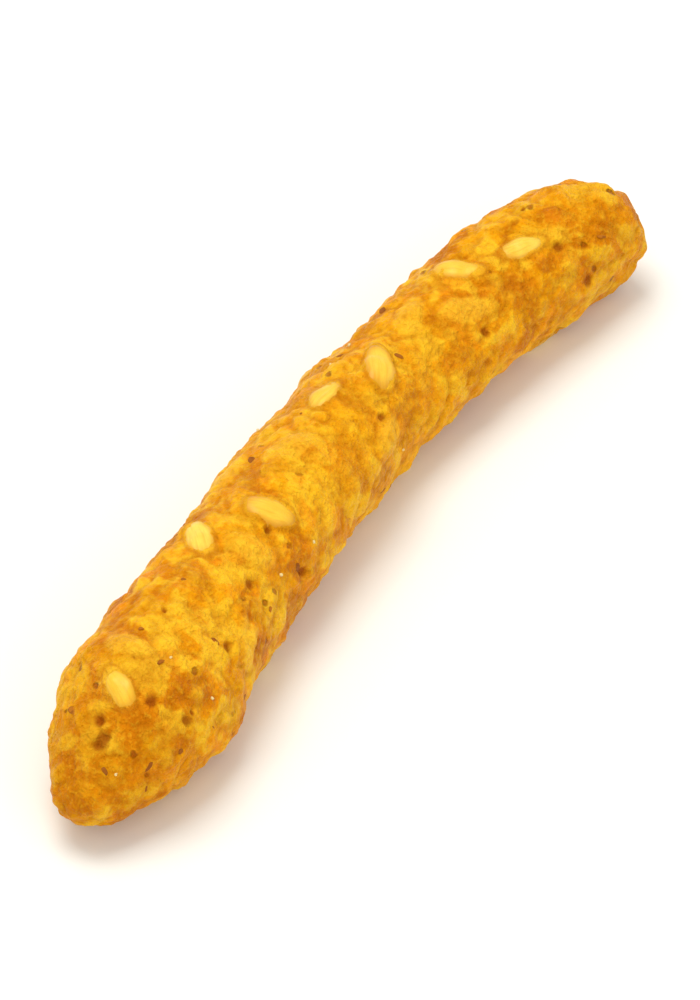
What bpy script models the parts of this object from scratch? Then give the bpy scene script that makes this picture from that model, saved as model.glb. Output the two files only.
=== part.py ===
"""A sesame stick: one finger of fried wheat dough with hulled sesame seeds in its skin.

The stick lies on its side along X, bowed towards +Y. It rests on Z = 0, where its underside is
pressed flat, and the origin is the middle of its box's base. Lengths are in metres.
"""

import math
import random

import bmesh
import bpy
import numpy as np
from mathutils import Vector, noise

MM = 0.001

# The whole stick, from its tapered nose at -X to its blunt heel at +X
LENGTH = 45.8 * MM
BOW = 2.50 * MM  # how far the middle stands off the straight line between the ends
BOW_LEAN = 1.55  # above 1, the bow is deepest nearer the heel
FLAT_DEPTH = 0.18 * MM  # how much of the round underside is pressed flat
BOX_MIDDLE = (0.14 * MM, 1.20 * MM)  # of the stick's box, measured from the line between the ends

# Its thick and thin places: share of the length, then radius
GIRTH = (
    (0.00, 3.05 * MM),
    (0.14, 3.72 * MM),
    (0.35, 3.35 * MM),
    (0.52, 3.25 * MM),
    (0.70, 2.92 * MM),
    (0.88, 3.05 * MM),
    (1.00, 2.85 * MM),
)

# Its ends: how long each rounding is, and how square, where 2 is a circle's arc
NOSE_LENGTH = 6.8 * MM
NOSE_SQUARENESS = 1.85
NOSE_DROOP = 0.7 * MM  # the nose's tip is this far below the middle of the stick
HEEL_LENGTH = 2.5 * MM
HEEL_SQUARENESS = 2.4
HEEL_SLANT = (-0.20, 0.25)  # the heel's face leans: its -Y side and its top stand out
SLANT_LENGTH = 7.0 * MM

# A shoulder on its -Y side, where the nose's slanting cut begins
SHOULDER_SHARE = 0.19  # of the length
SHOULDER_TURN = math.radians(205)
SHOULDER_SIZE, SHOULDER_HEIGHT = 1.7 * MM, 0.50 * MM

# Its cross-section: oval, with three soft corners that turn along the length
OVAL = 0.03
CORNERS = 0.02
TURN = 1.3 * math.pi  # from the nose to the heel

# The skin's relief: broad lumps, and knobs with creases between them
LUMP_SIZE, LUMP_HEIGHT = 4.2 * MM, 0.24 * MM
KNOB_SIZE, KNOB_HEIGHT = 1.4 * MM, 0.32 * MM
KNOB_MIDDLE = 0.25  # of its height, the level that leaves the stick as thick as before
CRAG_SIZE, CRAG_HEIGHT = 1.9 * MM, 0.34 * MM  # more of it on the two snapped ends
LUMP_LAYER, KNOB_LAYER, CRAG_LAYER = 1, 2, 14  # of the noise that their heights come from
RINGS = 86
AROUND = 48

# Hulled sesame seeds, sunk into the skin
SEED_LENGTH = 3.1 * MM
SEED_WIDTH = 1.95 * MM
SEED_THICKNESS = 1.0 * MM
SEED_POINTEDNESS = 0.30  # how much narrower the pointed end is
SEED_SIZES = (0.86, 1.06)
SEED_TILTS = (-0.07, 0.07)  # rise of the pointed end for each length along the seed
SEED_FLOOR = 0.05 * MM  # no seed reaches lower than this

# The seeds of the upper side: share of the length, degrees round from the middle of that side
# (more is nearer -Y), heading in degrees, and how deep its middle is sunk, in half thicknesses
UPPER_MIDDLE = 118
UPPER_SEEDS = (
    (0.098, -27, -64, 0.45),
    (0.143, -38, 81, 0.60),
    (0.251, 36, -55, 0.50),
    (0.319, -48, -39, 0.45),
    (0.339, -2, 75, 0.50),
    (0.389, -10, 66, 0.25),
    (0.422, -68, 9, 0.55),
    (0.478, -29, 27, 0.55),
    (0.562, -36, 5, 0.40),
    (0.573, 29, -13, 0.50),
    (0.630, -16, -37, 0.20),
    (0.717, -36, -27, 0.60),
    (0.757, 0, 26, 0.60),
    (0.795, -36, 64, 0.35),
    (0.859, -12, 15, 0.40),
)

# The rest, spread evenly round the sides and the underside
LOWER_SEEDS = 22
LOWER_SECTOR = (230, 368)
LOWER_STRETCH = (0.06, 0.94)  # shares of the length
LOWER_HEADING_SPREAD = 45
LOWER_SUNK = (0.20, 0.60)
LOWER_DRAW = 5
GOLDEN_SHARE = (math.sqrt(5) - 1) / 2

CRUST_COLOUR = (0.62, 0.27, 0.045)
CRUST_ROUGHNESS = 0.55


def eased(share, stations):
    """The value at a share of the length, levelling off at every station."""
    places, values = np.array(stations).T
    share = np.clip(share, 0, 1)
    i = np.clip(np.searchsorted(places, share, side="right") - 1, 0, len(places) - 2)
    step = (share - places[i]) / (places[i + 1] - places[i])
    return values[i] + (values[i + 1] - values[i]) * (1 - np.cos(np.pi * step)) / 2


def rounding(distance, length, squareness):
    """Share of the full girth at a distance from an end."""
    short = 1 - np.clip(distance / length, 0, 1)
    return np.maximum(1 - short**squareness, 0) ** (1 / squareness)


def radius(x):
    """Radius of the stick at x from the nose's tip, both ends rounded off."""
    nose = rounding(x, NOSE_LENGTH, NOSE_SQUARENESS)
    heel = rounding(LENGTH - x, HEEL_LENGTH, HEEL_SQUARENESS)
    return eased(x / LENGTH, GIRTH) * nose * heel


def profile_places(count=4001):
    """Places along the profile: shares of its own run over the skin, and their x."""
    x = LENGTH * (1 - np.cos(np.linspace(0, np.pi, count))) / 2
    steps = np.hypot(np.diff(x), np.diff(radius(x)))
    run = np.concatenate([[0], np.cumsum(steps)])
    return run / run[-1], x


PROFILE_RUN, PROFILE_X = profile_places()


def straight(run, turn):
    """Points of the smooth stick before it is bent, at shares of the run and angles round it."""
    x = np.interp(run, PROFILE_RUN, PROFILE_X)
    twist = TURN * x / LENGTH
    uneven = 1 + OVAL * np.cos(2 * (turn - twist)) + CORNERS * np.cos(3 * (turn + twist))
    r = radius(x) * uneven
    return np.stack([x, r * np.cos(turn), r * np.sin(turn)], axis=-1)


def bent(points):
    """The same points on the bowed centreline, over the resting place."""
    x, y, z = np.moveaxis(points, -1, 0)
    share = np.clip(x / LENGTH, 0, 1)
    tip = (1 - np.clip(x / NOSE_LENGTH, 0, 1)) ** 2
    slant = (1 - np.clip((LENGTH - x) / SLANT_LENGTH, 0, 1)) ** 2
    bow = BOW * np.sin(np.pi * share**BOW_LEAN)
    middle_x, middle_y = BOX_MIDDLE
    return np.stack(
        [
            x + slant * (HEEL_SLANT[0] * y + HEEL_SLANT[1] * z) - LENGTH / 2 - middle_x,
            y + bow - middle_y,
            z + eased(share, GIRTH) - FLAT_DEPTH - NOSE_DROOP * tip,
        ],
        axis=-1,
    )


def field(points, size, layer):
    """Smooth noise between about -1 and 1 with lumps of one size, different for each layer."""
    shift = Vector((17.3, 5.1, 9.7)) * layer
    return np.array([noise.noise(Vector(point) / size + shift) for point in points])


def shoulder(points):
    """Height of the nose's shoulder, at points of the straight stick."""
    x = SHOULDER_SHARE * LENGTH
    sideways = radius(x) * np.array([0, math.cos(SHOULDER_TURN), math.sin(SHOULDER_TURN)])
    away = np.linalg.norm(points - sideways - (x, 0, 0), axis=-1)
    return SHOULDER_HEIGHT * np.exp(-((away / SHOULDER_SIZE) ** 2))


def relief(points):
    """Height of the skin over the smooth stick, at points of the straight stick."""
    x = points[:, 0]
    snapped = 1 - np.clip(np.minimum(x / NOSE_LENGTH, (LENGTH - x) / HEEL_LENGTH), 0, 1)
    lumps = LUMP_HEIGHT * field(points, LUMP_SIZE, LUMP_LAYER)
    knobs = KNOB_HEIGHT * (np.abs(field(points, KNOB_SIZE, KNOB_LAYER)) - KNOB_MIDDLE)
    crags = CRAG_HEIGHT * snapped * field(points, CRAG_SIZE, CRAG_LAYER)
    return lumps + knobs + crags + shoulder(points)


def skin(run, turn):
    """Points of the finished skin, and the way out of the smooth stick at each."""
    step = 1e-4
    behind, ahead = np.maximum(run - step, 0), np.minimum(run + step, 1)
    along = bent(straight(ahead, turn)) - bent(straight(behind, turn))
    around = bent(straight(run, turn + step)) - bent(straight(run, turn - step))
    out = np.cross(around, along)
    out /= np.maximum(np.linalg.norm(out, axis=-1, keepdims=True), 1e-30)
    smooth = straight(run, turn)
    points = bent(smooth) + relief(smooth)[:, None] * out
    points[:, 2] = np.maximum(points[:, 2], 0)
    return points, out


def add_object(bm, name, collection):
    """A smooth-shaded object from a closed mesh, with its faces turned outwards."""
    bmesh.ops.recalc_face_normals(bm, faces=bm.faces)
    mesh = bpy.data.meshes.new(name)
    bm.to_mesh(mesh)
    bm.free()
    mesh.shade_smooth()
    obj = bpy.data.objects.new(name, mesh)
    collection.objects.link(obj)
    return obj


def make_dough(collection):
    """The dough: a ball whose rings slide along the profile, from nose to heel."""
    bm = bmesh.new()
    bmesh.ops.create_uvsphere(bm, u_segments=AROUND, v_segments=RINGS, radius=1)
    ball = np.array([vertex.co for vertex in bm.verts])
    run = 1 - np.arccos(np.clip(ball[:, 2], -1, 1)) / np.pi
    turn = np.arctan2(ball[:, 1], ball[:, 0])
    points, _ = skin(run, turn)
    for vertex, point in zip(bm.verts, points):
        vertex.co = point
    return add_object(bm, "sesame_stick", collection)


def seed_places():
    """Each seed's share of the length, angle round the stick, heading, depth, size and tilt."""
    draw = random.Random(LOWER_DRAW)
    places = [(share, UPPER_MIDDLE + turn, heading, sunk) for share, turn, heading, sunk in UPPER_SEEDS]
    start, end = LOWER_STRETCH
    low, high = LOWER_SECTOR
    for i in range(LOWER_SEEDS):
        share = start + (end - start) * (i + draw.uniform(0.1, 0.9)) / LOWER_SEEDS
        turn = low + (high - low) * ((i + 0.5) * GOLDEN_SHARE % 1)
        places.append((share, turn, draw.gauss(0, LOWER_HEADING_SPREAD), draw.uniform(*LOWER_SUNK)))
    seeds = []
    for share, turn, heading, sunk in places:
        shape = (draw.uniform(*SEED_SIZES), draw.uniform(*SEED_TILTS))
        seeds.append((share, math.radians(turn), math.radians(heading), sunk, *shape))
    return seeds


def laid_on_skin(ball, place):
    """A ball of diameter 1, drawn out to a seed and laid along the skin."""
    share, turn, heading, sunk, size, tilt = place
    narrow = 1 - SEED_POINTEDNESS * (ball[:, 0] + 0.5)
    along = ball[:, 0] * SEED_LENGTH * size
    across = ball[:, 1] * SEED_WIDTH * size * narrow
    height = ball[:, 2] * SEED_THICKNESS * narrow + tilt * along - SEED_THICKNESS / 2 * sunk
    x = share * LENGTH + along * math.cos(heading) - across * math.sin(heading)
    arc = along * math.sin(heading) + across * math.cos(heading)
    points, out = skin(np.interp(x, PROFILE_X, PROFILE_RUN), turn + arc / radius(share * LENGTH))
    laid = points + height[:, None] * out
    laid[:, 2] = np.maximum(laid[:, 2], SEED_FLOOR)
    return laid


def make_seeds(collection):
    for number, place in enumerate(seed_places()):
        bm = bmesh.new()
        bmesh.ops.create_icosphere(bm, subdivisions=2, radius=0.5)
        ball = np.array([vertex.co for vertex in bm.verts])
        for vertex, point in zip(bm.verts, laid_on_skin(ball, place)):
            vertex.co = point
        add_object(bm, f"seed_{number}", collection)


def fuse(target, collection):
    """Joins the collection's pieces to the target, and removes them."""
    union = target.modifiers.new("fuse", "BOOLEAN")
    union.operation = "UNION"
    union.operand_type = "COLLECTION"
    union.collection = collection
    union.solver = "EXACT"
    bpy.context.view_layer.update()
    graph = bpy.context.evaluated_depsgraph_get()
    fused = bpy.data.meshes.new_from_object(target.evaluated_get(graph))
    target.modifiers.clear()
    target.data = fused
    for piece in list(collection.objects):
        bpy.data.objects.remove(piece)
    bpy.data.collections.remove(collection)


def keep_largest_shell(target):
    """Drops loose scraps and the walls of sealed hollows."""
    bm = bmesh.new()
    bm.from_mesh(target.data)
    bmesh.ops.dissolve_degenerate(bm, dist=1e-8, edges=bm.edges)
    unseen = set(bm.faces)
    shells = []
    while unseen:
        shell, border = set(), [unseen.pop()]
        while border:
            face = border.pop()
            shell.add(face)
            for edge in face.edges:
                for other in edge.link_faces if len(edge.link_faces) == 2 else ():
                    if other in unseen:
                        unseen.discard(other)
                        border.append(other)
        shells.append(shell)
    largest = max(shells, key=len)
    bmesh.ops.delete(bm, geom=[face for face in bm.faces if face not in largest], context="FACES")
    bm.to_mesh(target.data)
    bm.free()


def crust_material():
    material = bpy.data.materials.new("fried_dough")
    material.use_nodes = True
    shader = material.node_tree.nodes["Principled BSDF"]
    shader.inputs["Base Color"].default_value = (*CRUST_COLOUR, 1)
    shader.inputs["Roughness"].default_value = CRUST_ROUGHNESS
    return material


def main():
    for obj in list(bpy.data.objects):
        bpy.data.objects.remove(obj)
    stick = bpy.data.collections.new("sesame_stick")
    seeds = bpy.data.collections.new("seeds")
    for collection in (stick, seeds):
        bpy.context.scene.collection.children.link(collection)
    dough = make_dough(stick)
    make_seeds(seeds)
    fuse(dough, seeds)
    keep_largest_shell(dough)
    dough.data.materials.clear()
    dough.data.materials.append(crust_material())


main()
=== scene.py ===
"""The looks of the sesame stick: granular fried dough, hulled seeds, salt and bran, in a studio.

The stick's form is worked out from the same named sizes as its CAD solid, and finer relief, pits and
a thin film of dough over the seeds' rims are added to it. Lengths are in metres, in the part's frame:
the stick lies along X on Z = 0, with its nose at -X and its bow towards +Y.
"""

import math
import random

import bmesh
import bpy
import numpy as np
from mathutils import Euler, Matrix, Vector, noise

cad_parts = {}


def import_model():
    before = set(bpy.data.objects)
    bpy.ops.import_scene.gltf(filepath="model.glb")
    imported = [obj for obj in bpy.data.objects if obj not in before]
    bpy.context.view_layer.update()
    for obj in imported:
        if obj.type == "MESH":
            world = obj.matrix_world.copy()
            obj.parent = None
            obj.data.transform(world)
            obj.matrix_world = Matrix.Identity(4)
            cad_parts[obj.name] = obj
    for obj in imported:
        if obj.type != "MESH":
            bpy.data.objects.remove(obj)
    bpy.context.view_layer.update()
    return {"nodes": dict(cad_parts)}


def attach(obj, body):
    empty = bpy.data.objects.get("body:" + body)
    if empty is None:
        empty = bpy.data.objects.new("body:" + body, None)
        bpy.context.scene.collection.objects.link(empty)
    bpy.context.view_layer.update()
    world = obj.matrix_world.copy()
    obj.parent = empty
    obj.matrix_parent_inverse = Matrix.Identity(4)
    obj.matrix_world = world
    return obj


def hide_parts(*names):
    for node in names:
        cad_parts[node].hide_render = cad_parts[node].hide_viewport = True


MM = 0.001
NODE = "sesame_stick"

# The whole stick, from its tapered nose at -X to its blunt heel at +X
LENGTH = 45.8 * MM
BOW = 2.50 * MM  # how far the middle stands off the straight line between the ends
BOW_LEAN = 1.55  # above 1, the bow is deepest nearer the heel
FLAT_DEPTH = 0.18 * MM  # how much of the round underside is pressed flat
FLAT_SOFTNESS = 0.04 * MM  # how gently the skin bends into that flat
BOX_MIDDLE = (0.14 * MM, 1.20 * MM)  # of the stick's box, measured from the line between the ends

# Its thick and thin places: share of the length, then radius
GIRTH = (
    (0.00, 3.05 * MM),
    (0.14, 3.72 * MM),
    (0.35, 3.35 * MM),
    (0.52, 3.25 * MM),
    (0.70, 2.92 * MM),
    (0.88, 3.05 * MM),
    (1.00, 2.85 * MM),
)

# Its ends: how long each rounding is, and how square, where 2 is a circle's arc
NOSE_LENGTH = 6.8 * MM
NOSE_SQUARENESS = 1.85
NOSE_DROOP = 0.7 * MM  # the nose's tip is this far below the middle of the stick
HEEL_LENGTH = 2.5 * MM
HEEL_SQUARENESS = 2.4
HEEL_SLANT = (-0.20, 0.25)  # the heel's face leans: its -Y side and its top stand out
SLANT_LENGTH = 7.0 * MM

# A shoulder on its -Y side, where the nose's slanting cut begins
SHOULDER_SHARE = 0.19  # of the length
SHOULDER_TURN = math.radians(205)
SHOULDER_SIZE, SHOULDER_HEIGHT = 1.7 * MM, 0.50 * MM

# Its cross-section: oval, with three soft corners that turn along the length
OVAL = 0.03
CORNERS = 0.02
TURN = 1.3 * math.pi  # from the nose to the heel

# The skin's main relief: broad lumps, and knobs with creases between them
LUMP_SIZE, LUMP_HEIGHT = 4.2 * MM, 0.24 * MM
KNOB_SIZE, KNOB_HEIGHT = 1.4 * MM, 0.32 * MM
KNOB_MIDDLE = 0.25  # of its height, the level that leaves the stick as thick as before
CRAG_SIZE, CRAG_HEIGHT = 1.9 * MM, 0.34 * MM  # more of it on the two snapped ends
LUMP_LAYER, KNOB_LAYER, CRAG_LAYER = 1, 2, 14  # of the noise that their heights come from
LAYER_SHIFT = (17.3, 5.1, 9.7)  # how far apart the layers of the noise lie, in lumps

# Its finer relief: grain and crumbs
GRAIN_SIZE, GRAIN_HEIGHT = 0.62 * MM, 0.12 * MM
CRUMB_SIZE, CRUMB_HEIGHT = 0.30 * MM, 0.055 * MM
GRAIN_LAYER, CRUMB_LAYER = 4, 5

# Grits of cracked wheat under the skin
GRIT_SPACING = 1.15 * MM
GRIT_REACH = 0.46  # of that spacing, from a grit's middle to its edge
GRIT_HEIGHT = 0.10 * MM
GRIT_LEVEL = 0.45  # of a noise from -1 to 1: the places below it, nearly three in four, hold one
GRIT_PICK = 37.7  # spreads the places out, so that neighbours hold one independently

# Steps of the dough's mesh, along and round the stick
RINGS = 440
AROUND = 208

# Hulled sesame seeds, sunk into the skin
SEED_LENGTH = 3.1 * MM
SEED_WIDTH = 1.95 * MM
SEED_THICKNESS = 1.0 * MM
SEED_POINTEDNESS = 0.30  # how much narrower the pointed end is
SEED_SIZES = (0.86, 1.06)  # against that length and width
SEED_TILTS = (-0.07, 0.07)  # rise of the pointed end for each length along the seed
SEED_FLOOR = 0.05 * MM  # no seed or fleck of bran reaches lower than this

# The seeds of the upper side: share of the length, degrees round from the middle of that side
# (more is nearer -Y), heading in degrees, and how deep its middle is sunk, in half thicknesses
UPPER_MIDDLE = 118
UPPER_SEEDS = (
    (0.098, -27, -64, 0.45),
    (0.143, -38, 81, 0.60),
    (0.251, 36, -55, 0.50),
    (0.319, -48, -39, 0.45),
    (0.339, -2, 75, 0.50),
    (0.389, -10, 66, 0.25),
    (0.422, -68, 9, 0.55),
    (0.478, -29, 27, 0.55),
    (0.562, -36, 5, 0.40),
    (0.573, 29, -13, 0.50),
    (0.630, -16, -37, 0.20),
    (0.717, -36, -27, 0.60),
    (0.757, 0, 26, 0.60),
    (0.795, -36, 64, 0.35),
    (0.859, -12, 15, 0.40),
)

# The rest, spread evenly round the sides and the underside
LOWER_SEEDS = 22
LOWER_SECTOR = (230, 368)  # degrees round the stick
LOWER_STRETCH = (0.06, 0.94)  # shares of the length
LOWER_HEADING_SPREAD = 45  # degrees
LOWER_SUNK = (0.20, 0.60)
LOWER_DRAW = 5
GOLDEN_SHARE = (math.sqrt(5) - 1) / 2

# The dough that climbs each seed: a collar round a bare dome, or a film all over it. A place on a
# seed is its share of the way from the seed's middle, 0, to its rim, 1
FILMED_OVER = 0.48  # seeds sunk deeper than this have no bare dome
FILM_THICKNESS = 0.05 * MM
COLLAR_WIDTH = 0.12  # share of that way
WINDOW_EDGE = 0.10  # how gradually the film ends, as such a share
WINDOW_DEPTH = 0.06 * MM  # how far the dough stays under a bare dome
FILM_RAGGEDNESS = 0.14  # of the film's edge, as such a share
FILM_RAGGED_SIZE, FILM_LAYER = 0.7 * MM, 7
SHOWS_BETWEEN = (1.05, 0.62)  # places between which a seed comes to show through
SHOWS_RAGGEDNESS = 0.5  # against the film's edge
MENISCUS = 0.10 * MM  # how softly the dough climbs a seed
OUTSIDE_SLOPE = 1.0 * MM  # how fast a seed's dome is taken to fall beyond its rim

# A browner ring in the dough round each seed: painted shade where the dough meets the seed
BARE_RING = 0.08  # share of the way beyond a bare dome
FILMED_RING = 1.08  # its place round a seed under the film
FILMED_RING_SHARE = 0.5  # how dark the painted shade is there, against the ring of a bare dome
RING_WIDTH = 0.10

# Over a seed the dough is calmer, and it has no pits
SEED_CALM = 0.55  # how much of the finer relief is gone where a seed shows fully
PITS_END = 0.25  # how much of a seed shows where the last pit ends

# Small pits: share of the length, degrees from the middle of the upper side, radius and depth
SEEN_PITS = (
    (0.052, -20, 0.42 * MM, 0.24 * MM),
    (0.066, -32, 0.30 * MM, 0.18 * MM),
    (0.122, 34, 0.30 * MM, 0.16 * MM),
    (0.305, 10, 0.32 * MM, 0.16 * MM),
    (0.370, -4, 0.20 * MM, 0.20 * MM),
    (0.579, 14, 0.26 * MM, 0.16 * MM),
    (0.886, 8, 0.26 * MM, 0.16 * MM),
)
MORE_PITS = 40
PIT_STRETCH = (0.02, 0.98)  # shares of the length
PIT_RADII = (0.16 * MM, 0.30 * MM)
PIT_DEPTHS = (0.08 * MM, 0.18 * MM)
PIT_RAGGEDNESS = 0.35
PIT_RAGGED_SIZE, PIT_LAYER = 0.35 * MM, 8
PIT_LIP_HEIGHT = 0.2  # of the pit's depth
PIT_LIP_PLACE, PIT_LIP_WIDTH = 1.7, 0.6  # in the pit's radii
PIT_DARKENS = (0.2, 0.9)  # shares of the pit's depth, between which it turns dark

# Loose bits in the skin, clear of the seeds and pits
BITS_STRETCH = (0.03, 0.97)  # shares of the length
PIT_CLEARANCE = 1.5  # in the pit's radii
SALT_GRAINS = 24  # less any that would reach the floor
SALT_SIZES = (0.10 * MM, 0.18 * MM)
SALT_SIDES = (0.75, 1.25)  # of each grain, against its size
SALT_ROUNDING = 0.10  # of its edges, against its sides
SALT_RISE = 0.18  # of its middle over the skin, against its size
SALT_CLEARANCE = 0.1  # from a seed's rim, against the way to it from the seed's middle
BRAN_FLECKS = 48
BRAN_LENGTHS = (0.22 * MM, 0.55 * MM)
BRAN_WIDTHS = (0.45, 0.9)  # against the length
BRAN_THICKNESS = 0.07 * MM
BRAN_SUNK = (-0.5, 0.3)  # in half thicknesses
BRAN_POINTEDNESS = 0.2
BRAN_RAGGEDNESS = 0.35
BRAN_LUMPS = 2.2  # ragged lumps across a fleck
BRAN_APART = 40  # the flecks lie up to this far apart in the noise that makes them ragged

# The ends are fried browner over these lengths, and the stick is palest round one place
NOSE_TOAST = 8.0 * MM
HEEL_TOAST = 9.0 * MM
HEEL_TOAST_SHARE = 0.5  # how brown the heel is, against the nose
PALEST_SHARE = 0.58  # of the length
PALE_REACH = 0.16  # of the length, over which that fades

# The hollows between the knobs are browner too: painted shade, standing in for the shade that falls in
# them
HOLLOW_SHADE_LEVELS = (-0.02, -0.28)  # of a knob's height, between which the painted shade comes in
HOLLOW_SHADE_GRAIN = 0.35  # how much the grain counts in that height

# Each random scatter has a draw of its own
PIT_DRAW, SALT_DRAW, BRAN_DRAW, SEED_SHADE_DRAW = 11, 12, 13, 14

# The photograph's view: 45 degrees down, with the stick's nose towards the lower left corner
AZIMUTH = math.radians(-57)
ELEVATION = math.radians(45)
CAMERA_DISTANCE = 1.2
PICTURE_HEIGHT = 46 * MM  # how much it shows from top to bottom, at the stick
SENSOR = 36.0  # mm

# The studio's lights: direction from the stick, as lengths up, away from the camera and to its
# right, then distance, width, power in watts and colour
LIGHTS = {
    "key": ((1.0, 0.22, -0.18), 0.55, 0.32, 1.76, (1.0, 1.0, 0.98)),
    "front": ((0.6, -1.0, 0.5), 0.70, 0.50, 0.80, (1.0, 1.0, 1.0)),
}
SKY_STRENGTH = 0.71
FLOOR_HALF = 1.0
FLOOR_COLOUR = (246, 245, 238)
FLOOR_ROUGHNESS = 0.7


# ---- The form, as in the CAD solid ----


def eased(share, stations):
    """The value at a share of the length, levelling off at every station."""
    places, values = np.array(stations).T
    share = np.clip(share, 0, 1)
    i = np.clip(np.searchsorted(places, share, side="right") - 1, 0, len(places) - 2)
    step = (share - places[i]) / (places[i + 1] - places[i])
    return values[i] + (values[i + 1] - values[i]) * (1 - np.cos(np.pi * step)) / 2


def rounding(distance, length, squareness):
    """Share of the full girth at a distance from an end."""
    short = 1 - np.clip(distance / length, 0, 1)
    return np.maximum(1 - short**squareness, 0) ** (1 / squareness)


def radius(x):
    """Radius of the stick at x from the nose's tip, both ends rounded off."""
    nose = rounding(x, NOSE_LENGTH, NOSE_SQUARENESS)
    heel = rounding(LENGTH - x, HEEL_LENGTH, HEEL_SQUARENESS)
    return eased(x / LENGTH, GIRTH) * nose * heel


def profile_places(count=4001):
    """Places along the profile: shares of its own run over the skin, and their x."""
    x = LENGTH * (1 - np.cos(np.linspace(0, np.pi, count))) / 2
    steps = np.hypot(np.diff(x), np.diff(radius(x)))
    run = np.concatenate([[0], np.cumsum(steps)])
    return run / run[-1], x


PROFILE_RUN, PROFILE_X = profile_places()


def run_at(x):
    """The share of the profile's run at x from the nose's tip."""
    return np.interp(x, PROFILE_X, PROFILE_RUN)


def straight(run, turn):
    """Points of the smooth stick before it is bent, at shares of the run and angles round it."""
    x = np.interp(run, PROFILE_RUN, PROFILE_X)
    twist = TURN * x / LENGTH
    uneven = 1 + OVAL * np.cos(2 * (turn - twist)) + CORNERS * np.cos(3 * (turn + twist))
    r = radius(x) * uneven
    return np.stack([x, r * np.cos(turn), r * np.sin(turn)], axis=-1)


def bent(points):
    """The same points on the bowed centreline, over the resting place."""
    x, y, z = np.moveaxis(points, -1, 0)
    share = np.clip(x / LENGTH, 0, 1)
    tip = (1 - np.clip(x / NOSE_LENGTH, 0, 1)) ** 2
    slant = (1 - np.clip((LENGTH - x) / SLANT_LENGTH, 0, 1)) ** 2
    bow = BOW * np.sin(np.pi * share**BOW_LEAN)
    middle_x, middle_y = BOX_MIDDLE
    return np.stack(
        [
            x + slant * (HEEL_SLANT[0] * y + HEEL_SLANT[1] * z) - LENGTH / 2 - middle_x,
            y + bow - middle_y,
            z + eased(share, GIRTH) - FLAT_DEPTH - NOSE_DROOP * tip,
        ],
        axis=-1,
    )


def field(points, size, layer):
    """Smooth noise between about -1 and 1 with lumps of one size, different for each layer."""
    places = points / size + np.array(LAYER_SHIFT) * layer
    return np.array([noise.noise(place) for place in places.tolist()])


def shoulder(points):
    """Height of the nose's shoulder, at points of the straight stick."""
    x = SHOULDER_SHARE * LENGTH
    sideways = radius(x) * np.array([0, math.cos(SHOULDER_TURN), math.sin(SHOULDER_TURN)])
    away = np.linalg.norm(points - sideways - (x, 0, 0), axis=-1)
    return SHOULDER_HEIGHT * np.exp(-((away / SHOULDER_SIZE) ** 2))


def relief(points):
    """Height of the skin over the smooth stick, at points of the straight stick."""
    x = points[:, 0]
    snapped = 1 - np.clip(np.minimum(x / NOSE_LENGTH, (LENGTH - x) / HEEL_LENGTH), 0, 1)
    lumps = LUMP_HEIGHT * field(points, LUMP_SIZE, LUMP_LAYER)
    knobs = KNOB_HEIGHT * (np.abs(field(points, KNOB_SIZE, KNOB_LAYER)) - KNOB_MIDDLE)
    crags = CRAG_HEIGHT * snapped * field(points, CRAG_SIZE, CRAG_LAYER)
    return lumps + knobs + crags + shoulder(points)


def way_out(run, turn):
    """The direction out of the smooth stick."""
    step = 1e-4
    behind, ahead = np.maximum(run - step, 0), np.minimum(run + step, 1)
    along = bent(straight(ahead, turn)) - bent(straight(behind, turn))
    around = bent(straight(run, turn + step)) - bent(straight(run, turn - step))
    out = np.cross(around, along)
    return out / np.maximum(np.linalg.norm(out, axis=-1, keepdims=True), 1e-30)


def skin(run, turn):
    """Points of the skin that carries the seeds, and the way out of the smooth stick at each."""
    smooth = straight(run, turn)
    out = way_out(run, turn)
    return bent(smooth) + relief(smooth)[:, None] * out, out


def seed_places():
    """Each seed's share of the length, angle round the stick, heading, depth, size and tilt."""
    draw = random.Random(LOWER_DRAW)
    places = [(share, UPPER_MIDDLE + turn, heading, sunk) for share, turn, heading, sunk in UPPER_SEEDS]
    start, end = LOWER_STRETCH
    low, high = LOWER_SECTOR
    for i in range(LOWER_SEEDS):
        share = start + (end - start) * (i + draw.uniform(0.1, 0.9)) / LOWER_SEEDS
        turn = low + (high - low) * ((i + 0.5) * GOLDEN_SHARE % 1)
        places.append((share, turn, draw.gauss(0, LOWER_HEADING_SPREAD), draw.uniform(*LOWER_SUNK)))
    seeds = []
    for share, turn, heading, sunk in places:
        shape = (draw.uniform(*SEED_SIZES), draw.uniform(*SEED_TILTS))
        seeds.append((share, math.radians(turn), math.radians(heading), sunk, *shape))
    return seeds


SEEDS = seed_places()


# ---- The finer form ----


def smoothstep(value, low, high):
    """0 below low, 1 above high, and an S-curve between; low may be the higher one."""
    step = np.clip((value - low) / (high - low), 0, 1)
    return step * step * (3 - 2 * step)


def offsets(x, turn, share, angle):
    """How far points of the skin lie along and round the stick from a place on it."""
    round_by = (turn - angle + math.pi) % (2 * math.pi) - math.pi
    return x - share * LENGTH, round_by * radius(share * LENGTH)


def over_seed(x, turn, seed):
    """For points of the skin: height of a seed's top there, and the way to its rim, 1 at the rim."""
    share, angle, heading, sunk, size, tilt = seed
    forward, sideways = offsets(x, turn, share, angle)
    along = forward * math.cos(heading) + sideways * math.sin(heading)
    across = sideways * math.cos(heading) - forward * math.sin(heading)
    u = along / (SEED_LENGTH * size)
    narrow = 1 - SEED_POINTEDNESS * np.clip(u + 0.5, 0, 1)
    v = across / (SEED_WIDTH * size * narrow)
    rim = 2 * np.hypot(u, v)
    dome = SEED_THICKNESS * narrow * np.sqrt(np.maximum(0.25 - u**2 - v**2, 0))
    sunk_by = SEED_THICKNESS / 2 * sunk
    beyond = OUTSIDE_SLOPE * np.maximum(rim - 1, 0)
    return dome + tilt * along - sunk_by - beyond, rim


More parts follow.
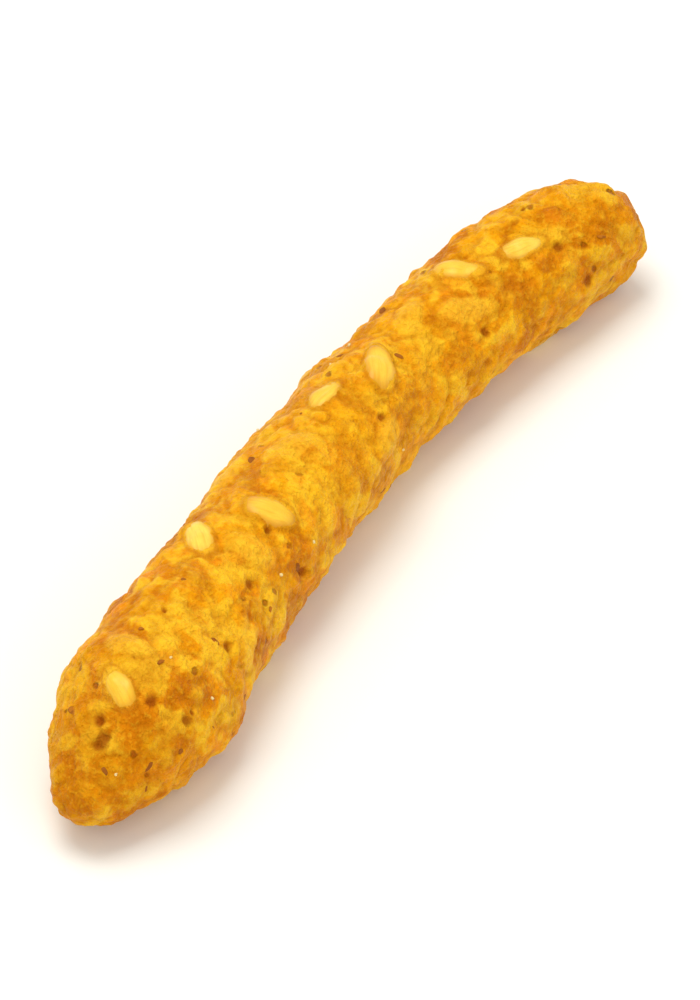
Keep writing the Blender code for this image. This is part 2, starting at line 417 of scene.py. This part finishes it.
def seed_film(points, turn):
    """Rise of the dough over and round the seeds, how much of a seed shows, and the ring of painted
    shade round it.
    """
    x = points[:, 0]
    ragged = FILM_RAGGEDNESS * field(points, FILM_RAGGED_SIZE, FILM_LAYER)
    rise = np.zeros(len(points))
    shows = np.zeros(len(points))
    seed_ring_shade = np.zeros(len(points))
    for seed in SEEDS:
        top, rim = over_seed(x, turn, seed)
        sunk = seed[3]
        filmed = sunk > FILMED_OVER
        window = math.sqrt(1 - sunk**2) - COLLAR_WIDTH
        bare = 0 if filmed else smoothstep(rim + ragged, window + WINDOW_EDGE, window - WINDOW_EDGE)
        ring_at = FILMED_RING if filmed else window + BARE_RING
        ring_shade_share = FILMED_RING_SHARE if filmed else 1
        # the ring of painted shade round the seed
        seed_ring_shade = np.maximum(seed_ring_shade, ring_shade_share * np.exp(-(((rim + ragged - ring_at) / RING_WIDTH) ** 2)))
        dough = top + FILM_THICKNESS * (1 - bare) - WINDOW_DEPTH * bare
        rise = np.maximum(rise, (dough + np.hypot(dough, MENISCUS)) / 2)
        shows = np.maximum(shows, smoothstep(rim + SHOWS_RAGGEDNESS * ragged, *SHOWS_BETWEEN))
    return rise, shows, seed_ring_shade


def pit_places():
    """Each pit's share of the length, angle, radius and depth: the seen ones, then a scatter."""
    draw = random.Random(PIT_DRAW)
    pits = []
    for share, turn, size, depth in SEEN_PITS:
        pits.append((share, math.radians(UPPER_MIDDLE + turn), size, depth))
    for _ in range(MORE_PITS):
        place = (draw.uniform(*PIT_STRETCH), draw.uniform(0, 2 * math.pi))
        pits.append((*place, draw.uniform(*PIT_RADII), draw.uniform(*PIT_DEPTHS)))
    return pits


PITS = pit_places()


def pitted(points, turn):
    """Depth of the pits, and how dark they are: partly browner dough, partly painted shade inside them.
    """
    x = points[:, 0]
    ragged = 1 + PIT_RAGGEDNESS * field(points, PIT_RAGGED_SIZE, PIT_LAYER)
    depth = np.zeros(len(points))
    dark = np.zeros(len(points))
    for share, angle, size, deep in PITS:
        away = np.hypot(*offsets(x, turn, share, angle)) / size * ragged
        bowl = np.exp(-(away**3))
        lip = PIT_LIP_HEIGHT * np.exp(-(((away - PIT_LIP_PLACE) / PIT_LIP_WIDTH) ** 2))
        depth = np.maximum(depth, deep * bowl) - deep * lip
        # darker inside: partly browner dough, partly painted shade
        dark = np.maximum(dark, smoothstep(bowl, *PIT_DARKENS))
    return depth, dark


def gritty(points):
    """How much of a grit lies under each point: 1 over its middle, 0 where there is none."""
    covers = []
    for place in (points / GRIT_SPACING).tolist():
        distances, cells = noise.voronoi(place)
        chosen = noise.cell(cells[0] * GRIT_PICK)
        away = distances[0] / GRIT_REACH
        covers.append(max(1 - away * away, 0) if chosen < GRIT_LEVEL else 0)
    return np.array(covers)


def dough_skin(run, turn):
    """Points of the finished dough, and what colours it, each 0 to 1."""
    smooth = straight(run, turn)
    grain = np.abs(field(smooth, GRAIN_SIZE, GRAIN_LAYER)) - KNOB_MIDDLE
    crumb = field(smooth, CRUMB_SIZE, CRUMB_LAYER)
    knob = np.abs(field(smooth, KNOB_SIZE, KNOB_LAYER)) - KNOB_MIDDLE
    grit = gritty(smooth)
    rise, shows, seed_ring_shade = seed_film(smooth, turn)
    depth, dark = pitted(smooth, turn)
    calm = 1 - SEED_CALM * shows
    clear = smoothstep(shows, PITS_END, 0)
    fine = calm * (GRAIN_HEIGHT * grain + CRUMB_HEIGHT * crumb + GRIT_HEIGHT * grit)
    fine -= clear * depth
    height = relief(smooth) + fine + rise
    points = bent(smooth) + height[:, None] * way_out(run, turn)
    z = points[:, 2]
    points[:, 2] = FLAT_SOFTNESS * np.logaddexp(0, z / FLAT_SOFTNESS)
    x = smooth[:, 0]
    heel_toast = HEEL_TOAST_SHARE * smoothstep(x, LENGTH - HEEL_TOAST, LENGTH)
    colours = {
        "toast": np.maximum(smoothstep(x, NOSE_TOAST, 0), heel_toast),
        "golden": np.exp(-(((x / LENGTH - PALEST_SHARE) / PALE_REACH) ** 2)),
        # painted shade in the hollows between the knobs
        "hollow_shade": smoothstep(knob + HOLLOW_SHADE_GRAIN * grain, *HOLLOW_SHADE_LEVELS) * calm,
        "shows": shows,
        # painted shade round the seeds
        "seed_ring_shade": seed_ring_shade,
        "grit": grit * calm,
        "dark": dark * clear,
    }
    return points, colours


# ---- The pieces ----


def template(bm):
    """A closed mesh's points and faces, in the same order each run, to be shaped and repeated."""
    bm.verts.index_update()
    points = np.array([vertex.co for vertex in bm.verts])
    faces = sorted([vertex.index for vertex in face.verts] for face in bm.faces)
    bm.free()
    return points, faces


def ball(subdivisions):
    """A ball of diameter 1."""
    bm = bmesh.new()
    bmesh.ops.create_icosphere(bm, subdivisions=subdivisions, radius=0.5)
    return template(bm)


def crystal():
    """A cube with sides of 1 and rounded edges."""
    bm = bmesh.new()
    bmesh.ops.create_cube(bm, size=1)
    bmesh.ops.bevel(bm, geom=list(bm.edges), offset=SALT_ROUNDING, segments=2, affect="EDGES")
    return template(bm)


def add_piece(name, material, parts, faces, attributes):
    """One object from parts of the same faces, smooth-shaded, riding on the stick's body."""
    size = len(parts[0])
    points = np.concatenate(parts)
    all_faces = [[i + n * size for i in face] for n in range(len(parts)) for face in faces]
    mesh = bpy.data.meshes.new(name)
    mesh.from_pydata(points.tolist(), [], all_faces)
    for key, values in attributes.items():
        mesh.attributes.new(key, "FLOAT", "POINT").data.foreach_set("value", values.astype(np.float32))
    bm = bmesh.new()
    bm.from_mesh(mesh)
    bmesh.ops.recalc_face_normals(bm, faces=bm.faces)
    bm.to_mesh(mesh)
    bm.free()
    mesh.shade_smooth()
    mesh.materials.append(material)
    piece = bpy.data.objects.new(name, mesh)
    bpy.context.scene.collection.objects.link(piece)
    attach(piece, "root")
    return piece


def make_dough():
    """The dough: a ball whose rings slide along the profile, from nose to heel."""
    bm = bmesh.new()
    bmesh.ops.create_uvsphere(bm, u_segments=AROUND, v_segments=RINGS, radius=1)
    sphere, faces = template(bm)
    run = 1 - np.arccos(np.clip(sphere[:, 2], -1, 1)) / np.pi
    turn = np.arctan2(sphere[:, 1], sphere[:, 0])
    points, colours = dough_skin(run, turn)
    dough = add_piece("dough", dough_material(), [points], faces, colours)
    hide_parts(NODE)


def laid_on_skin(shape, place, length, width, thickness, pointedness):
    """A ball of diameter 1, drawn out to a seed or flake and laid along the skin."""
    share, angle, heading, sunk, size, tilt = place
    narrow = 1 - pointedness * (shape[:, 0] + 0.5)
    along = shape[:, 0] * length * size
    across = shape[:, 1] * width * size * narrow
    height = shape[:, 2] * thickness * narrow + tilt * along - thickness / 2 * sunk
    x = share * LENGTH + along * math.cos(heading) - across * math.sin(heading)
    arc = along * math.sin(heading) + across * math.cos(heading)
    points, out = skin(run_at(x), angle + arc / radius(share * LENGTH))
    laid = points + height[:, None] * out
    laid[:, 2] = np.maximum(laid[:, 2], SEED_FLOOR)
    return laid


def make_seeds():
    """The seeds, with each point's place on its seed and each seed's own paleness."""
    shape, faces = ball(subdivisions=4)
    sizes = (SEED_LENGTH, SEED_WIDTH, SEED_THICKNESS, SEED_POINTEDNESS)
    parts = [laid_on_skin(shape, seed, *sizes) for seed in SEEDS]
    draw = random.Random(SEED_SHADE_DRAW)
    attributes = {
        "along": np.tile(shape[:, 0] + 0.5, len(parts)),
        "across": np.tile(shape[:, 1], len(parts)),
        "rim": np.tile(2 * np.hypot(shape[:, 0], shape[:, 1]), len(parts)),
        "pale": np.repeat([draw.random() for _ in parts], len(shape)),
    }
    add_piece("sesame_seeds", seed_material(), parts, faces, attributes)


def clear_places(draw, count, gap):
    """Random places on the skin, as share of the length and angle, clear of seeds and pits."""
    places = []
    while len(places) < count:
        share, angle = draw.uniform(*BITS_STRETCH), draw.uniform(0, 2 * math.pi)
        x = np.array([share * LENGTH])
        off_seeds = all(over_seed(x, angle, seed)[1][0] > 1 + gap for seed in SEEDS)
        off_pits = True
        for pit_share, pit_angle, size, _ in PITS:
            away = math.hypot(*offsets(x[0], angle, pit_share, pit_angle))
            off_pits = off_pits and away > PIT_CLEARANCE * size
        if off_seeds and off_pits:
            places.append((share, angle))
    return places


def make_salt():
    """Grains of salt: small rounded blocks, sunk by a third."""
    draw = random.Random(SALT_DRAW)
    shape, faces = crystal()
    parts = []
    for share, angle in clear_places(draw, SALT_GRAINS, SALT_CLEARANCE):
        size = draw.uniform(*SALT_SIZES)
        sides = np.array([size * draw.uniform(*SALT_SIDES) for _ in range(3)])
        turned = Euler([draw.uniform(0, math.pi) for _ in range(3)]).to_matrix()
        middle, out = skin(run_at([share * LENGTH]), np.array([angle]))
        block = (shape * sides) @ np.array(turned).T
        grain = middle + block + SALT_RISE * size * out
        if grain[:, 2].min() > 0:
            parts.append(grain)
    add_piece("salt_grains", salt_material(), parts, faces, {})


def make_bran():
    """Flecks of bran: thin ragged flakes, flat in the skin."""
    draw = random.Random(BRAN_DRAW)
    shape, faces = ball(subdivisions=3)
    parts = []
    for share, angle in clear_places(draw, BRAN_FLECKS, gap=0.0):
        length = draw.uniform(*BRAN_LENGTHS)
        width = length * draw.uniform(*BRAN_WIDTHS)
        lumps = field(shape * BRAN_LUMPS + BRAN_APART * draw.random(), size=1, layer=0)
        ragged = shape * (1 + BRAN_RAGGEDNESS * lumps)[:, None]
        place = (share, angle, draw.uniform(0, math.pi), draw.uniform(*BRAN_SUNK), 1, 0)
        parts.append(laid_on_skin(ragged, place, length, width, BRAN_THICKNESS, BRAN_POINTEDNESS))
    add_piece("bran_flecks", bran_material(), parts, faces, {})


# ---- The materials ----


def srgb(*channels):
    """A colour as a screen shows it, 0 to 255, in the renderer's linear values."""
    linear = []
    for channel in channels:
        value = channel / 255
        linear.append(value / 12.92 if value <= 0.04045 else ((value + 0.055) / 1.055) ** 2.4)
    return (*linear, 1)


class Shader:
    """A Principled material, and short ways to add the nodes that drive it."""

    def __init__(self, name, values):
        self.material = bpy.data.materials.new(name)
        self.material.use_nodes = True
        self.tree = self.material.node_tree
        self.surface = self.tree.nodes["Principled BSDF"]
        self.place = self.tree.nodes.new("ShaderNodeTexCoord").outputs["Object"]
        for socket, value in values.items():
            self.drive(socket, value)

    def drive(self, socket, value):
        """Sets or links one of the surface's inputs."""
        self.plug(self.surface.inputs[socket], value)

    def plug(self, socket, value):
        """Links another node's output to a socket, or sets the socket to a plain value."""
        if isinstance(value, bpy.types.NodeSocket):
            self.tree.links.new(value, socket)
        else:
            socket.default_value = value

    def add(self, kind, inputs, **settings):
        """A new node, with its settings and inputs."""
        node = self.tree.nodes.new(kind)
        for name, value in settings.items():
            setattr(node, name, value)
        for name, value in inputs.items():
            self.plug(node.inputs[name], value)
        return node

    def attribute(self, name):
        return self.add("ShaderNodeAttribute", {}, attribute_name=name).outputs["Fac"]

    def noise(self, size, detail=2.0, distortion=0.0, place=None):
        """Noise from 0 to 1 with lumps of one size."""
        inputs = {
            "Vector": place or self.place,
            "Scale": 1 / size,
            "Detail": detail,
            "Distortion": distortion,
        }
        return self.add("ShaderNodeTexNoise", inputs).outputs[0]

    def warped(self, size, reach):
        """The place on the object, shifted about by up to the reach, for ragged edges."""
        inputs = {"Vector": self.place, "Scale": 1 / size, "Detail": 1.0}
        shift = self.add("ShaderNodeTexNoise", inputs).outputs["Color"]
        centred = self.add("ShaderNodeVectorMath", {0: shift, 1: (0.5, 0.5, 0.5)}, operation="SUBTRACT")
        inputs = {0: centred.outputs[0], 1: (2 * reach,) * 3, 2: self.place}
        return self.add("ShaderNodeVectorMath", inputs, operation="MULTIPLY_ADD").outputs[0]

    def cells(self, size, place):
        """Cells of one size: the distance from each cell's middle, and a random value for each."""
        node = self.add("ShaderNodeTexVoronoi", {"Vector": place, "Scale": 1 / size})
        shade = self.add("ShaderNodeSeparateColor", {"Color": node.outputs["Color"]})
        return node.outputs["Distance"], shade.outputs[0]

    def between(self, value, low, high):
        """0 at low, 1 at high, and an S-curve between; low may be the higher one."""
        inputs = {"Value": value, "From Min": low, "From Max": high}
        return self.add("ShaderNodeMapRange", inputs, interpolation_type="SMOOTHSTEP").outputs[0]

    def span(self, value, low, high):
        """A value from 0 to 1 spread from low to high."""
        return self.add("ShaderNodeMapRange", {"Value": value, "To Min": low, "To Max": high}).outputs[0]

    def sum(self, *parts):
        """The parts, each a value and its weight, added up."""
        total = 0.0
        for value, weight in parts:
            inputs = {0: value, 1: weight, 2: total}
            total = self.add("ShaderNodeMath", inputs, operation="MULTIPLY_ADD").outputs[0]
        return total

    def product(self, a, b):
        return self.add("ShaderNodeMath", {0: a, 1: b}, operation="MULTIPLY").outputs[0]

    def mix(self, share, a, b):
        """Colour a, giving way to colour b."""
        return self.add("ShaderNodeMix", {0: share, 6: a, 7: b}, data_type="RGBA").outputs[2]

    def paint(self, colour, coats):
        """The colour under coats of paint, each with where it lies, how dense it is and its shade."""
        for cover, density, shade in coats:
            colour = self.mix(self.product(cover, density), colour, srgb(*shade))
        return colour

    def bump(self, height, distance):
        """Bumps all over the surface, as high as the distance where the height is 1."""
        node = self.add("ShaderNodeBump", {"Height": height, "Distance": distance, "Strength": 1.0})
        self.drive("Normal", node.outputs[0])


def dough_material():
    """Toasted golden dough: mottled, with painted shade in its hollows and crevices, paler over seeds
    and grits.
    """
    shader = Shader(
        "toasted_dough",
        {
            "Subsurface Weight": 0.14,
            "Subsurface Radius": (1.0, 0.45, 0.10),
            "Subsurface Scale": 0.6 * MM,
            "Specular IOR Level": 0.17,
            "Specular Tint": (1.0, 0.66, 0.20, 1.0),
        },
    )
    broad = shader.noise(4.8 * MM, 2, 0.3)
    patches = shader.noise(1.9 * MM, 3, 0.4)
    tint = shader.noise(1.3 * MM, 2)
    middling = shader.noise(0.70 * MM, 3, 0.6)
    sandy = shader.noise(0.24 * MM, 2)
    fine = shader.noise(0.13 * MM, 3)
    ragged = shader.warped(0.30 * MM, 0.12 * MM)
    grain_away, _ = shader.cells(0.36 * MM, ragged)
    shows = shader.attribute("shows")

    # Patches of crust, then toast, painted shade in the hollows and what lies under the skin, then
    # specks with painted shade between the grains, and painted shade round the seeds
    coats = (
        (shader.between(patches, 0.50, 0.585), 0.95, (255, 195, 38)),
        (shader.between(patches, 0.48, 0.385), 0.95, (200, 111, 0)),
        (shader.between(tint, 0.52, 0.66), 0.52, (248, 146, 12)),
        (shader.between(tint, 0.48, 0.34), 0.46, (239, 170, 10)),
        (shader.attribute("toast"), 0.42, (194, 113, 2)),
        (shader.attribute("golden"), 0.30, (255, 186, 24)),
        (shader.attribute("grit"), 0.45, (255, 200, 42)),
        # painted shade in the hollows between the knobs
        (shader.attribute("hollow_shade"), 0.42, (186, 103, 0)),
        (shows, 0.58, (255, 195, 48)),
        (shader.between(middling, 0.52, 0.72), 0.24, (255, 196, 34)),
        (shader.between(middling, 0.48, 0.28), 0.24, (200, 112, 0)),
        # painted shade in the crevices between the grains
        (shader.between(grain_away, 0.45, 0.85), 0.20, (186, 102, 0)),
        (shader.between(sandy, 0.48, 0.76), 0.27, (255, 201, 44)),
        (shader.between(sandy, 0.52, 0.26), 0.21, (194, 107, 0)),
        # painted shade round the seeds, where the dough meets them
        (shader.attribute("seed_ring_shade"), 0.55, (194, 109, 2)),
    )
    base = shader.mix(shader.between(broad, 0.34, 0.66), srgb(223, 132, 0), srgb(250, 168, 4))
    crust = shader.paint(base, coats)

    # Pinholes in some of the cells, clear of the seeds, and the modelled pits; their dark colour is
    # partly browner dough, partly painted shade inside them
    pit_away, pit_kind = shader.cells(1.1 * MM, ragged)
    pinhole = shader.product(shader.between(pit_away, 0.20, 0.08), shader.between(pit_kind, 0.60, 0.64))
    pinhole = shader.product(pinhole, shader.between(shows, 0.1, 0))
    # pits and pinholes darker: partly browner dough, partly painted shade inside them
    dark = shader.sum((shader.attribute("dark"), 0.80), (pinhole, 0.70))
    shader.drive("Base Color", shader.mix(dark, crust, srgb(150, 64, 4)))

    oily = shader.noise(2.4 * MM, 3)
    shader.drive("Roughness", shader.span(shader.between(oily, 0.3, 0.7), 0.40, 0.62))
    heights = (
        (middling, 0.8),
        (sandy, 1.0),
        (fine, 1.1),
        (grain_away, -0.8),
        (patches, 0.6),
        (pinhole, -1.2),
    )
    shader.bump(shader.sum(*heights), 0.12 * MM)
    return shader.material


def seed_material():
    """Hulled sesame: pale and satin, a little toasted at the point, and darker at the rim, partly toast
    and partly painted shade where it dips into the dough.
    """
    shader = Shader(
        "hulled_sesame",
        {
            "Subsurface Weight": 0.3,
            "Subsurface Radius": (1.0, 0.6, 0.2),
            "Subsurface Scale": 0.6 * MM,
            "Specular IOR Level": 0.4,
            "Specular Tint": (1.0, 0.86, 0.56, 1.0),
            "Coat Weight": 0.08,
            "Coat Roughness": 0.2,
        },
    )
    along = shader.attribute("along")
    cloudy = shader.noise(0.9 * MM, 2)
    finer_across = shader.product(shader.attribute("across"), 7.0)
    lengthwise = shader.add("ShaderNodeCombineXYZ", {0: along, 1: finer_across, 2: cloudy})
    streaks = shader.noise(0.6, 3, 0.3, lengthwise.outputs[0])
    coats = (
        (shader.between(cloudy, 0.4, 0.7), 0.5, (244, 182, 38)),
        (shader.between(streaks, 0.48, 0.70), 0.45, (232, 164, 32)),
        # darker toward the rim: partly toast, partly painted shade where the seed dips into the dough
        (shader.between(shader.attribute("rim"), 0.45, 0.90), 0.85, (222, 144, 12)),
        (shader.between(along, 0.78, 0.98), 0.6, (192, 116, 12)),
    )
    hull = shader.mix(shader.attribute("pale"), srgb(250, 194, 48), srgb(255, 215, 84))
    shader.drive("Base Color", shader.paint(hull, coats))
    shader.drive("Roughness", shader.span(cloudy, 0.30, 0.48))
    shader.bump(shader.sum((streaks, 1.0), (cloudy, 0.8)), 0.05 * MM)
    return shader.material


def salt_material():
    """Clear white salt, tinted warm with painted light from the dough under it."""
    shader = Shader(
        "salt",
        {
            "Subsurface Weight": 0.4,
            "Subsurface Radius": (1.0, 1.0, 0.9),
            "Subsurface Scale": 0.3 * MM,
            "IOR": 1.54,
        },
    )
    frost = shader.noise(0.15 * MM, 2)
    # warm tint: painted light, the dough's colour seen through the clear grain
    shader.drive("Base Color", shader.mix(frost, srgb(255, 226, 160), srgb(250, 206, 116)))
    shader.drive("Roughness", shader.span(frost, 0.12, 0.4))
    shader.bump(frost, 0.01 * MM)
    return shader.material


def bran_material():
    """Toasted bran: brown to golden brown flakes, with darker streaks."""
    shader = Shader("bran", {"Specular IOR Level": 0.2})
    kind = shader.noise(2.2 * MM, 1)
    streaks = shader.noise(0.2 * MM, 3)
    flake = shader.mix(shader.between(kind, 0.4, 0.6), srgb(150, 82, 6), srgb(184, 108, 10))
    coats = ((shader.between(streaks, 0.5, 0.7), 0.6, (118, 60, 4)),)
    shader.drive("Base Color", shader.paint(flake, coats))
    shader.drive("Roughness", shader.span(streaks, 0.5, 0.75))
    shader.bump(streaks, 0.02 * MM)
    return shader.material


# ---- The studio ----


def view_axes():
    """The camera's right, its up, and the way back from the object to it."""
    right = Vector((math.cos(AZIMUTH), math.sin(AZIMUTH), 0))
    forward = Vector((-math.sin(AZIMUTH), math.cos(AZIMUTH), 0))
    back = -math.cos(ELEVATION) * forward + Vector((0, 0, math.sin(ELEVATION)))
    return right, back.cross(right), back


def make_camera(stick):
    """The camera at the photograph's angle, aimed at the middle of the stick as it sees it."""
    right, up, back = view_axes()
    points = [vertex.co for vertex in stick.data.vertices]
    aim = Vector((0, 0, 0))
    for axis in (right, up, back):
        along = [axis.dot(point) for point in points]
        aim += axis * (min(along) + max(along)) / 2
    data = bpy.data.cameras.new("camera")
    data.sensor_width = SENSOR
    data.lens = SENSOR * CAMERA_DISTANCE / PICTURE_HEIGHT
    data.clip_start = 0.01
    camera = bpy.data.objects.new("camera", data)
    camera.location = aim + back * CAMERA_DISTANCE
    camera.rotation_euler = back.to_track_quat("Z", "Y").to_euler()
    bpy.context.scene.collection.objects.link(camera)
    bpy.context.scene.camera = camera


def make_lights():
    """Square soft lights that look at the stick."""
    right, _, back = view_axes()
    over = Vector((0, 0, 1))
    away = Vector((-back.x, -back.y, 0)).normalized()
    for name, ((up, beyond, sideways), distance, width, watts, colour) in LIGHTS.items():
        direction = up * over + beyond * away + sideways * right
        data = bpy.data.lights.new(name, "AREA")
        data.size = width
        data.energy = watts
        data.color = colour
        light = bpy.data.objects.new(name, data)
        light.location = direction.normalized() * distance
        light.rotation_euler = direction.to_track_quat("Z", "Y").to_euler()
        bpy.context.scene.collection.objects.link(light)


def make_sky():
    """Even white light from all round."""
    world = bpy.data.worlds.new("studio")
    world.use_nodes = True
    background = world.node_tree.nodes["Background"]
    background.inputs["Color"].default_value = (1, 1, 1, 1)
    background.inputs["Strength"].default_value = SKY_STRENGTH
    bpy.context.scene.world = world


def make_floor():
    """A plain pale table top under the stick."""
    half = FLOOR_HALF
    corners = [(-half, -half, 0), (half, -half, 0), (half, half, 0), (-half, half, 0)]
    mesh = bpy.data.meshes.new("floor")
    mesh.from_pydata(corners, [], [(0, 1, 2, 3)])
    shader = Shader("pale_floor", {"Base Color": srgb(*FLOOR_COLOUR), "Roughness": FLOOR_ROUGHNESS})
    mesh.materials.append(shader.material)
    floor = bpy.data.objects.new("floor", mesh)
    bpy.context.scene.collection.objects.link(floor)


def make_studio():
    make_lights()
    make_sky()
    make_floor()
    bpy.context.scene.view_settings.view_transform = "Standard"


def main():
    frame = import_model()
    make_camera(frame["nodes"][NODE])
    make_studio()
    make_dough()
    make_seeds()
    make_salt()
    make_bran()


main()
